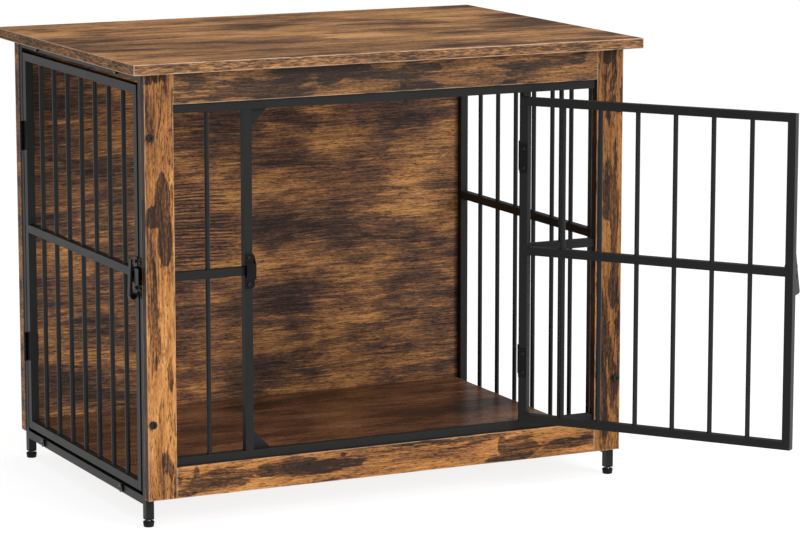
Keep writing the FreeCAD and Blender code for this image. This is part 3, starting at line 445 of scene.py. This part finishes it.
def flanked(shader, place, colour, front, share):
    """Paint shade on the narrow edges of a front board with a plain dark colour."""
    behind = (place.sibling("Y") - front).step(*FLANK_DEPTH)
    return shader.mix(behind * share, colour, FLANK_SHADE_COLOUR)


print("ink and edges ready")


# %% Wood material
STOP_PLACES = (0.10, 0.30, 0.46, 0.64, 0.95)
SLOW_SEED_STEP = 7
SPECK = 0.5
PORE_RANGE = (0.58, 0.68)
PORE_SHARE = 0.7
# the pale lines along the board edges are a painted highlight, where rounded edges would catch
# the light
ARRIS_WIDTH = 0.0016
ARRIS_HIGHLIGHT_RANGE = (0.35, 0.6)
ARRIS_HIGHLIGHT_GAIN = 1.1
TONE_GLOSS = -0.10
TONE_RELIEF = 0.5
RELIEF_STRENGTH, RELIEF_HEIGHT = 0.3, 0.0004


def wood(
    node,
    along,
    across,
    seed,
    tones,
    base=0.62,
    drift=1.2,
    drift_size=(260, 70),
    patch=(170, 34),
    depth=0.36,
    level=0.50,
    soft=0.04,
    streaks=0.75,
    grain=0.85,
    marks=(),
    strokes=(),
    ripple=None,
    edge_tone=(0.50, 0.33, 0.21),
    edge_share=0.55,
    edge_bands=False,
    flank=0.0,
    roughness=0.5,
    specular=0.10,
):
    """A printed board: tones run from the darkest to the lightest colour."""
    shader = Shader(bpy.data.materials.new("wood_" + node))
    place, space = board_space(shader, along, across, seed)
    slow = stretched(shader, space, (*drift_size, SLOW_THROUGH), seed + SLOW_SEED_STEP)
    fray, streak, fine, tiny, pore = (
        layer(shader, space, name, seed) for name in ("fray", "streak", "fine", "tiny", "pore")
    )
    burnt = burnt_patches(shader, space, fray, seed, patch, marks, level, soft)
    lines = (streak - 0.5) * streaks + (fine - 0.5) * grain + (tiny - 0.5) * SPECK
    tone = base + (slow - 0.5) * drift - burnt * depth + lines
    if ripple:
        tone = rippled(space, tone, streak + slow, *ripple)
    stops = list(zip(STOP_PLACES, tones))
    colour = shader.node("ShaderNodeValToRGB", {"stops": stops}, {"Fac": tone})
    pores = pore.step(*PORE_RANGE) * PORE_SHARE
    colour = inked(shader, space, colour, tones[0], pores, fray, strokes)
    low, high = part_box(node)
    if edge_bands:
        colour = banded(shader, place, colour, stops, low, high, seed)
    # painted shade: the faces behind a front board's front face get a dark colour
    if flank:
        colour = flanked(shader, place, colour, low[1], flank)
    # paint a pale highlight on the board's edges, broken up by the fine grain
    painted_arris_highlight = arris(place, low, high, ARRIS_WIDTH) * (fine * ARRIS_HIGHLIGHT_GAIN).step(*ARRIS_HIGHLIGHT_RANGE)
    colour = shader.mix(painted_arris_highlight * edge_share, colour, edge_tone)
    relief = tone * TONE_RELIEF - pores
    shader.end(
        "Principled BSDF",
        Base_Color=colour,
        Roughness=(tone - 0.5) * TONE_GLOSS + roughness,
        Specular_IOR_Level=specular,
        Normal=shader.bump(relief, RELIEF_STRENGTH, RELIEF_HEIGHT),
    )
    return shader.owner


print("wood material ready")

# %% [markdown]
# ## Each board's own print
#
# The boards are cut from different sheets, so each has its own seed, its own tones and
# its own large marks. The table top is the calmest, with long soft streaks. The front
# stiles and rails have the strongest contrast, and the back panel is the coolest and has
# a zone of fine wavy lines. A mark is (along, across, half length, half width, push) in
# millimetres. A push above 0 makes the spot darker, and one below 0 makes it lighter. A
# stroke is (start, end, width).

# %% Wood for the top
TOP_TONES = (
    (0.050, 0.027, 0.017),
    (0.110, 0.056, 0.030),
    (0.200, 0.098, 0.044),
    (0.330, 0.158, 0.062),
    (0.56, 0.29, 0.115),
)
board_materials = {}


def print_board(node, along, across, **look):
    """Make a board's material, with its grain along one axis and its width on another."""
    board_materials[node] = wood(node, along, across, **look)


print_board(
    "top_board",
    "X",
    "Y",
    seed=2.4,
    tones=TOP_TONES,
    base=0.60,
    patch=(190, 60),
    drift=1.35,
    depth=0.30,
    level=0.53,
    soft=0.08,
    streaks=1.0,
    marks=(
        (-73, -75, 60, 48, 0.26),
        (-353, 198, 30, 36, 0.26),
        (-232, 93, 70, 51, -0.28),
        (153, -170, 80, 47, -0.26),
        (174, 69, 120, 39, 0.18),
        (-25, -69, 50, 48, 0.1),
        (303, -213, 50, 35, -0.2),
        (-152, 211, 60, 27, 0.2),
        (192, 177, 80, 27, -0.25),
    ),
    edge_bands=True,
    edge_share=0.8,
    edge_tone=(0.56, 0.38, 0.26),
    roughness=0.62,
    specular=0.12,
)
print("top board printed")

# %% Wood for the front surround
STILE_TONES = (
    (0.030, 0.017, 0.012),
    (0.115, 0.050, 0.022),
    (0.265, 0.110, 0.035),
    (0.410, 0.172, 0.049),
    (0.62, 0.30, 0.10),
)
RAIL_TONES = (
    (0.030, 0.020, 0.016),
    (0.060, 0.035, 0.023),
    (0.125, 0.062, 0.030),
    (0.245, 0.112, 0.042),
    (0.46, 0.23, 0.090),
)
print_board(
    "front_stile_left",
    "Z",
    "X",
    flank=0.85,
    seed=5.9,
    tones=STILE_TONES,
    base=0.62,
    patch=(150, 26),
    level=0.56,
    marks=(
        (636, -361, 12, 24, 0.3),
        (550, -362, 11, 8, 0.35),
        (464, -350, 44, 13, 0.42),
        (444, -362, 19, 18, 0.36),
        (408, -349, 42, 12, 0.38),
        (330, -366, 60, 6, 0.36),
        (216, -343, 31, 5, 0.28),
        (88, -349, 25, 12, 0.15),
        (576, -361, 41, 18, -0.2),
        (339, -348, 38, 10, -0.3),
        (187, -358, 56, 15, -0.2),
        (494, -372, 40, 8, -0.25),
    ),
    strokes=(
        ((562, -370), (615, -374), 1.1),
        ((552, -356), (582, -349.5), 1.2),
        ((580, -349.5), (628, -348), 1.0),
    ),
)
print_board(
    "front_stile_right",
    "Z",
    "X",
    flank=0.85,
    seed=8.1,
    tones=tuple(shade(tone, 0.70) for tone in STILE_TONES),
    base=0.55,
    drift=0.8,
    patch=(90, 14),
    level=0.51,
    marks=(
        (631, 352, 12, 9, 0.45),
        (430, 355, 27, 12, 0.4),
        (401, 354, 15, 13, 0.3),
        (288, 366, 37, 8, 0.35),
        (222, 354, 20, 7, 0.2),
        (148, 350, 37, 7, 0.15),
        (504, 355, 37, 14, -0.15),
        (327, 350, 30, 11, -0.2),
    ),
)
print_board(
    "front_rail_upper",
    "X",
    "Z",
    flank=0.85,
    seed=9.3,
    tones=RAIL_TONES,
    base=0.56,
    drift=0.8,
    patch=(120, 22),
    depth=0.32,
    level=0.52,
    soft=0.06,
    marks=(
        (-215, 622, 120, 22, 0.2),
        (-97, 621, 22, 12, 0.2),
        (-74, 628, 48, 13, 0.15),
        (19, 615, 6, 22, 0.4),
        (62, 631, 23, 7, 0.3),
        (221, 627, 43, 13, 0.1),
        (189, 605, 14, 5, 0.4),
        (127, 615, 60, 20, -0.5),
        (-260, 620, 50, 16, -0.1),
        (-34, 607, 60, 12, -0.12),
        (327, 622, 20, 24, -0.25),
    ),
)
print_board(
    "front_rail_lower",
    "X",
    "Z",
    flank=0.85,
    seed=4.6,
    tones=STILE_TONES,
    base=0.58,
    patch=(130, 18),
    level=0.57,
    marks=(
        (-144, 62, 70, 11, 0.34),
        (-167, 75, 50, 7, 0.3),
        (-267, 54, 52, 9, 0.3),
        (-97, 65, 20, 9, 0.2),
        (-305, 70, 5, 16, 0.34),
        (209, 62, 37, 19, 0.5),
        (180, 68, 9, 12, 0.4),
        (-77, 77, 5, 3, 0.7),
        (-52, 67, 7, 4, 0.8),
        (284, 57, 50, 6, 0.26),
        (78, 55, 90, 17, -0.35),
        (-2, 59, 40, 17, -0.25),
    ),
    strokes=(
        ((-325, 50), (-318, 47), 1.2),
        ((-332, 78), (-326, 50), 1.2),
        ((-318, 47), (-308, 80), 1.2),
    ),
)
print("front surround printed")

# %% Wood for the back and the floor
BACK_TONES = (
    (0.036, 0.023, 0.019),
    (0.080, 0.044, 0.033),
    (0.148, 0.074, 0.044),
    (0.300, 0.134, 0.054),
    (0.66, 0.32, 0.105),
)
FLOOR_TONES = (
    (0.030, 0.012, 0.008),
    (0.065, 0.026, 0.015),
    (0.120, 0.048, 0.024),
    (0.200, 0.082, 0.036),
    (0.34, 0.17, 0.09),
)
print_board(
    "back_panel",
    "X",
    "Z",
    seed=7.7,
    tones=BACK_TONES,
    base=0.61,
    drift=1.15,
    drift_size=(150, 60),
    patch=(150, 60),
    depth=0.24,
    level=0.51,
    soft=0.08,
    grain=1.15,
    marks=(
        (84, 496, 50, 22, 0.26),
        (49, 443, 50, 26, 0.2),
        (171, 379, 80, 28, 0.22),
        (32, 326, 44, 48, 0.24),
        (-20, 479, 35, 39, 0.1),
        (305, 427, 70, 65, -0.34),
        (180, 475, 50, 20, -0.2),
        (84, 290, 50, 20, -0.25),
        (224, 416, 54, 16, -0.12),
        (136, 454, 24, 12, -0.2),
        (-100, 335, 110, 80, -0.35),
    ),
    ripple=(5.2, (-105, 335), (95, 78), 0.42),
    roughness=0.55,
    specular=0.15,
)
print_board(
    "floor_board",
    "X",
    "Y",
    seed=4.2,
    tones=FLOOR_TONES,
    patch=(140, 40),
    depth=0.3,
    level=0.52,
    soft=0.1,
    roughness=0.26,
    specular=0.35,
)
print(len(board_materials), "boards printed")

# %% [markdown]
# ## Black metal and plastic
#
# Powder coat is a satin black with a very fine orange peel. The screws in sight are
# blackened and a little shinier. The screws that hold the boards from below and behind
# are bright zinc, and so are the studs of the feet. The pads and plugs are moulded
# plastic, which is duller and more even than the coat.


# %% Metal and plastic materials
CLOUD_SCALE = 14.0
CLOUD_LIFT = 1.4
CLOUD_ROUGHNESS, PEEL_ROUGHNESS = 0.12, 0.08
PEEL_STRENGTH, PEEL_DEPTH = 0.35, 0.00004


def coat(name, colour, roughness, peel_size=0.45, metallic=0.0, specular=0.12):
    """A finish with fine peel and a faint cloudiness; peel_size is in mm."""
    shader = Shader(bpy.data.materials.new(name))
    place = shader.node("ShaderNodeTexCoord", {}, {}, "Object")
    inputs = {"Vector": place, "Scale": 1 / (peel_size * MM), "Detail": 2.0}
    peel = shader.node("ShaderNodeTexNoise", {}, inputs)
    inputs = {"Vector": place, "Scale": CLOUD_SCALE, "Detail": 3.0}
    cloud = shader.node("ShaderNodeTexNoise", {}, inputs)
    uneven = (cloud - 0.5) * CLOUD_ROUGHNESS + (peel - 0.5) * PEEL_ROUGHNESS
    shader.end(
        "Principled BSDF",
        Base_Color=shader.mix(cloud, colour, shade(colour, CLOUD_LIFT)),
        Roughness=uneven + roughness,
        Metallic=metallic,
        Specular_IOR_Level=specular,
        Normal=shader.bump(peel, PEEL_STRENGTH, PEEL_DEPTH),
    )
    return shader.owner


tube_black = coat("tube_black", (0.0105, 0.0106, 0.0103), 0.38, specular=0.13)
screw_black = coat("screw_black", (0.0028, 0.0028, 0.0032), 0.20, specular=0.30)
zinc = coat("zinc", (0.55, 0.55, 0.53), 0.28, peel_size=1.1, metallic=1.0, specular=0.5)
slot_materials = {
    "black_tube": tube_black,
    "black_bar": coat("bar_black", (0.0072, 0.0073, 0.0071), 0.28, specular=0.22),
    "black_gusset": tube_black,
    "black_hinge": coat("hinge_black", (0.0035, 0.0035, 0.0040), 0.34, specular=0.12),
    "black_latch": coat("latch_black", (0.0026, 0.0026, 0.0030), 0.28, specular=0.12),
    "black_screw": screw_black,
    "black_bolt": screw_black,
    "zinc_screw": zinc,
    "zinc_stud": zinc,
    "pad_plastic": coat("pad_plastic", (0.0060, 0.0060, 0.0060), 0.45, peel_size=0.7),
    "plug_plastic": coat("plug_plastic", (0.0080, 0.0080, 0.0080), 0.5, peel_size=0.7),
}
slot_of = {row["node"]: row["material_slot"] for row in frame["record"]["subparts"]}
for name, obj in nodes.items():
    material = board_materials.get(name) or slot_materials[slot_of[name]]
    for slot in obj.material_slots:
        slot.material = material
print(len(slot_materials), "finishes on", len(nodes), "nodes")

# %% [markdown]
# ## Soft corners
#
# Nothing real has a perfectly sharp edge. Square tube is rolled and has corners of about
# a millimetre, and a foiled board has a hair of a radius. A Bevel modifier makes them
# without touching the CAD mesh. The mesh comes in as loose triangles, so a Weld joins
# them and a planar Decimate clears the flat faces first.


# %% Rounded edges
WELD_GAP = 0.00001
FLAT_ANGLE = 0.02
EDGE_ANGLE = 0.7
EDGE_SEGMENTS = 3


def soften(obj, width):
    """Round the sharp edges of an object by width (m)."""
    weld = obj.modifiers.new("weld", "WELD")
    weld.merge_threshold = WELD_GAP
    flat = obj.modifiers.new("flat", "DECIMATE")
    flat.decimate_type = "DISSOLVE"
    flat.angle_limit = FLAT_ANGLE
    edge = obj.modifiers.new("edge", "BEVEL")
    edge.width = width
    edge.segments = EDGE_SEGMENTS
    edge.limit_method = "ANGLE"
    edge.angle_limit = EDGE_ANGLE
    edge.harden_normals = True


EDGE_WIDTHS = {
    "black_tube": 0.0012,
    "black_gusset": 0.0003,
    "black_latch": 0.0004,
    "black_bolt": 0.0007,
    "wood_stile": 0.0006,
    "wood_rail": 0.0006,
    "wood_back": 0.0005,
    "wood_floor": 0.0005,
    "wood_top": 0.0003,
    "plug_plastic": 0.0008,
    "pad_plastic": 0.0008,
}
softened = 0
for name, obj in nodes.items():
    width = EDGE_WIDTHS.get(slot_of[name])
    if width:
        soften(obj, width)
        softened += 1
print(softened, "nodes with soft edges")

# %% [markdown]
# ## Small hardware
#
# A CAD screw is a plain cylinder with a wider one on top. Close up, a real one has a
# rounded pan head with a cross recess, so each screw is built again on the place and axis
# of its own solid. The solids of one node share a mesh, and are told apart by walking
# along their edges.


# %% Solids of a node
def solids(node):
    """The points of each separate shape in a node's mesh."""
    mesh = bmesh.new()
    mesh.from_mesh(nodes[node].data)
    bmesh.ops.remove_doubles(mesh, verts=mesh.verts, dist=WELD_GAP)
    found = []
    for start in mesh.verts:
        if start.tag:
            continue
        start.tag = True
        front, points = [start], []
        while front:
            vert = front.pop()
            points.append(vert.co.copy())
            for edge in vert.link_edges:
                other = edge.other_vert(vert)
                if not other.tag:
                    other.tag = True
                    front.append(other)
        found.append(points)
    mesh.free()
    return found


def middle(points):
    return sum(points, Vector()) / len(points)


print(len(solids("stile_bolts")), "stile bolts")


# %% Mesh helpers
RING_POINTS = 24
BEAD_WAVES = 7
SHARP_ANGLE = 0.6


def ring(mesh, matrix, radius, height, ripple=0.0):
    """A closed loop of points round the z axis of matrix."""
    loop = []
    for index in range(RING_POINTS):
        angle = 2 * math.pi * index / RING_POINTS
        reach = radius + ripple * math.sin(angle * BEAD_WAVES)
        spot = Vector((reach * math.cos(angle), reach * math.sin(angle), height))
        loop.append(mesh.verts.new(matrix @ spot))
    return loop


def bridge(mesh, lower, upper):
    for index in range(len(lower)):
        mesh.faces.new((lower[index - 1], lower[index], upper[index], upper[index - 1]))


def skin(mesh, loops):
    """Bridge each loop to the next one."""
    for lower, upper in zip(loops, loops[1:]):
        bridge(mesh, lower, upper)


def finish_piece(mesh, name, body, material, sharp=SHARP_ANGLE):
    """Turn a bmesh into an object that rides on a body."""
    bmesh.ops.recalc_face_normals(mesh, faces=mesh.faces)
    data = bpy.data.meshes.new(name)
    mesh.to_mesh(data)
    mesh.free()
    data.materials.append(material)
    data.polygons.foreach_set("use_smooth", [True] * len(data.polygons))
    data.set_sharp_from_angle(angle=sharp)
    piece = bpy.data.objects.new(name, data)
    bpy.context.scene.collection.objects.link(piece)
    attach(piece, body)
    return piece


print("mesh helpers ready")

# %% [markdown]
# ## Pan-head screws
#
# The head's profile is a list of radii and heights, turned round the axis. Its flat top
# is filled between the last ring and a plus sign, and the plus sign is sunk. The head is
# the end of the solid with the wider radius, which also tells which way the screw points.

# %% Cross recess
RECESS_ARM = 0.50
RECESS_HALF_WIDTH = 0.15
RECESS_DEPTH = 0.6
RECESS_TAPER = 0.8


def plus_sign(mesh, matrix, scale, height):
    """A closed loop in the shape of a plus sign."""
    arm, half_width = RECESS_ARM * scale, RECESS_HALF_WIDTH * scale
    corners = ((arm, half_width), (half_width, half_width), (half_width, arm))
    loop = []
    for quarter in range(4):
        turn = Matrix.Rotation(math.pi / 2 * quarter, 4, "Z")
        for x, y in corners:
            loop.append(mesh.verts.new(matrix @ turn @ Vector((x, y, height))))
    return loop


def sink_recess(mesh, matrix, head_rim, radius, height):
    """Fill the head's flat top round a plus sign that is sunk into it."""
    rim = plus_sign(mesh, matrix, radius, height)
    sunk = plus_sign(mesh, matrix, radius * RECESS_TAPER, height * (1 - RECESS_DEPTH))
    bridge(mesh, rim, sunk)
    mesh.faces.new(sunk)
    edges = []
    for loop in (head_rim, rim):
        for index in range(len(loop)):
            pair = (loop[index - 1], loop[index])
            edges.append(mesh.edges.get(pair) or mesh.edges.new(pair))
    bmesh.ops.triangle_fill(mesh, edges=edges, use_beauty=True)


print("cross recess ready")


# %% One screw
HEAD_PROFILE = ((1.0, 0.0), (1.0, 0.42), (0.95, 0.68), (0.84, 0.88), (0.66, 1.0))
CAP_GAP = 0.00002
RIM_SHARE = 0.98


def cap(points, axis, sign):
    """The radius, side and centre of the solid's end that faces along sign * axis."""
    reach = max(point.dot(axis) * sign for point in points)
    flat = [point for point in points if reach - point.dot(axis) * sign < CAP_GAP]
    centre = middle(flat)
    return max((point - centre).length for point in flat), sign, centre


def add_screw(mesh, points, axis):
    """Build one screw on the solid given by its points, along axis or against it."""
    ends = [cap(points, axis, sign) for sign in (1, -1)]
    head_radius, sign, top = max(ends)
    shank_radius, _, tip = min(ends)
    outward = axis * sign
    reach = head_radius * RIM_SHARE
    rim = [point for point in points if (point - top).cross(outward).length > reach]
    head_height = max((top - point).dot(outward) for point in rim)
    seat = top - outward * head_height
    turn = outward.to_track_quat("Z", "Y").to_matrix().to_4x4()
    matrix = Matrix.Translation(seat) @ turn
    loops = [ring(mesh, matrix, shank_radius, -(seat - tip).length)]
    loops.append(ring(mesh, matrix, shank_radius, 0))
    for radius, height in HEAD_PROFILE:
        loops.append(ring(mesh, matrix, head_radius * radius, head_height * height))
    skin(mesh, loops)
    mesh.faces.new(loops[0])
    sink_recess(mesh, matrix, loops[-1], head_radius, head_height)


print("screw with", len(HEAD_PROFILE), "rings in its head")

# %% Screws
FACE_X = Vector((1, 0, 0))
FACE_Y = Vector((0, 1, 0))
FACE_Z = Vector((0, 0, 1))
FRONT_DOOR_ANGLE = math.radians(127)
FACE_FRONT_DOOR = Vector((-math.sin(FRONT_DOOR_ANGLE), math.cos(FRONT_DOOR_ANGLE), 0))
LEFT_SIDE = -0.3
# a node without an axis has screws on the left side and on the front
SCREWS = {
    "front_latch_screws": ("front_door", FACE_FRONT_DOOR),
    "front_door_hinge_screws": ("front_door", FACE_FRONT_DOOR),
    "side_latch_screws": ("side_door", FACE_X),
    "side_door_hinge_screws": ("side_door", FACE_X),
    "keeper_screws": ("table", None),
    "fixed_hinge_screws": ("table", None),
    "board_screws": ("table", FACE_Z),
    "back_panel_screws": ("table", FACE_Y),
}
screw_count = 0
for node, (body, axis) in SCREWS.items():
    mesh = bmesh.new()
    for points in solids(node):
        own_axis = FACE_X if middle(points).x < LEFT_SIDE else FACE_Y
        add_screw(mesh, points, own_axis if axis is None else axis)
        screw_count += 1
    piece = finish_piece(mesh, "pan_head_" + node, body, slot_materials[slot_of[node]])
    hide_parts(node)
print(screw_count, "pan-head screws")

# %% [markdown]
# ## Threads on the levelling feet
#
# Each foot screws into its leg, so its stud shows a fine thread when it is turned out. A
# thread is a cylinder whose radius rises and falls along a helix. The phase of the helix
# depends on height and angle together, and that is all that makes it wind.

# %% Studs
THREAD_PITCH = 0.001
THREAD_DEPTH = 0.00045
ROWS_PER_TURN = 6
WAVY_ANGLE = 1.2
FEET = ("front_left", "front_right", "rear_left", "rear_right")


def thread_row(mesh, centre, radius, height):
    """A loop of points whose distance from the axis follows the helix."""
    loop = []
    for column in range(RING_POINTS):
        share = column / RING_POINTS
        phase = (height / THREAD_PITCH - share) % 1
        reach = radius - THREAD_DEPTH * abs(2 * phase - 1)
        angle = 2 * math.pi * share
        x = centre.x + reach * math.cos(angle)
        y = centre.y + reach * math.sin(angle)
        loop.append(mesh.verts.new((x, y, height)))
    return loop


for foot in FEET:
    low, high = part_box("foot_stud_" + foot)
    centre = (Vector(low) + Vector(high)) / 2
    radius = (high[0] - low[0]) / 2
    rows = round((high[2] - low[2]) / THREAD_PITCH * ROWS_PER_TURN)
    mesh = bmesh.new()
    loops = []
    for row in range(rows + 1):
        height = low[2] + (high[2] - low[2]) * row / rows
        loops.append(thread_row(mesh, centre, radius, height))
    skin(mesh, loops)
    mesh.faces.new(loops[0])
    mesh.faces.new(loops[-1])
    name = "threaded_stud_" + foot
    piece = finish_piece(mesh, name, "foot_" + foot, zinc, sharp=WAVY_ANGLE)
    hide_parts("foot_stud_" + foot)
print(len(FEET), "threaded studs of", rows // ROWS_PER_TURN, "turns")

# %% [markdown]
# ## Weld beads
#
# The round bars are welded to the square tubes, and powder coat doesn't hide the small
# collar of weld metal at each joint. A bead is a short flared ring from the bar's surface
# to the tube's face, with a slight ripple. It goes where a bar ends on a rail, and on
# both faces of a middle rail that the bar passes through.


# %% One bead
# how far the bead's outline stands out from the bar, and how far it rises from the rail
BEAD_PROFILE = (
    (-0.0003, 0.0),
    (-0.0003, 0.0008),
    (0.00005, 0.0010),
    (0.0003, 0.0006),
    (0.0007, 0.00025),
    (0.0012, 0.0),
)
BEAD_RIPPLE = 0.12


def add_bead(mesh, centre, radius, height, sign):
    """A closed ring of weld metal round a bar, on the upper or lower face of a rail."""
    matrix = Matrix.Translation((centre.x, centre.y, height))
    loops = []
    for grow, rise in BEAD_PROFILE:
        ripple = grow * BEAD_RIPPLE
        loops.append(ring(mesh, matrix, radius + grow, rise * sign, ripple=ripple))
    skin(mesh, loops + loops[:1])


print("bead of", len(BEAD_PROFILE), "rings ready")


# %% Beads
BARS = {
    "grille_bars": ("grille_mid_rails", "table"),
    "front_door_bars": ("front_door_rails", "front_door"),
    "side_door_bars": ("side_door_rails", "side_door"),
    "right_frame_bars": ("right_frame_rails", "table"),
}


def span(points):
    """The lowest and the highest z of some points."""
    heights = [point.z for point in points]
    return min(heights), max(heights)


for node, (rail_node, body) in BARS.items():
    rail_spans = {rounded(span(points), 5) for points in solids(rail_node)}
    mesh = bmesh.new()
    beads = 0
    for points in solids(node):
        centre = middle(points)
        low, high = span(points)
        radius = max((point.xy - centre.xy).length for point in points)
        seats = [(low, 1), (high, -1)]
        for rail_low, rail_high in sorted(rail_spans):
            if low + radius < rail_low and rail_high < high - radius:
                seats += [(rail_low, -1), (rail_high, 1)]
        for height, sign in seats:
            add_bead(mesh, centre, radius, height, sign)
            beads += 1
    name = "weld_beads_" + node
    piece = finish_piece(mesh, name, body, slot_materials["black_bar"], sharp=WAVY_ANGLE)
    print(beads, "beads on", node)
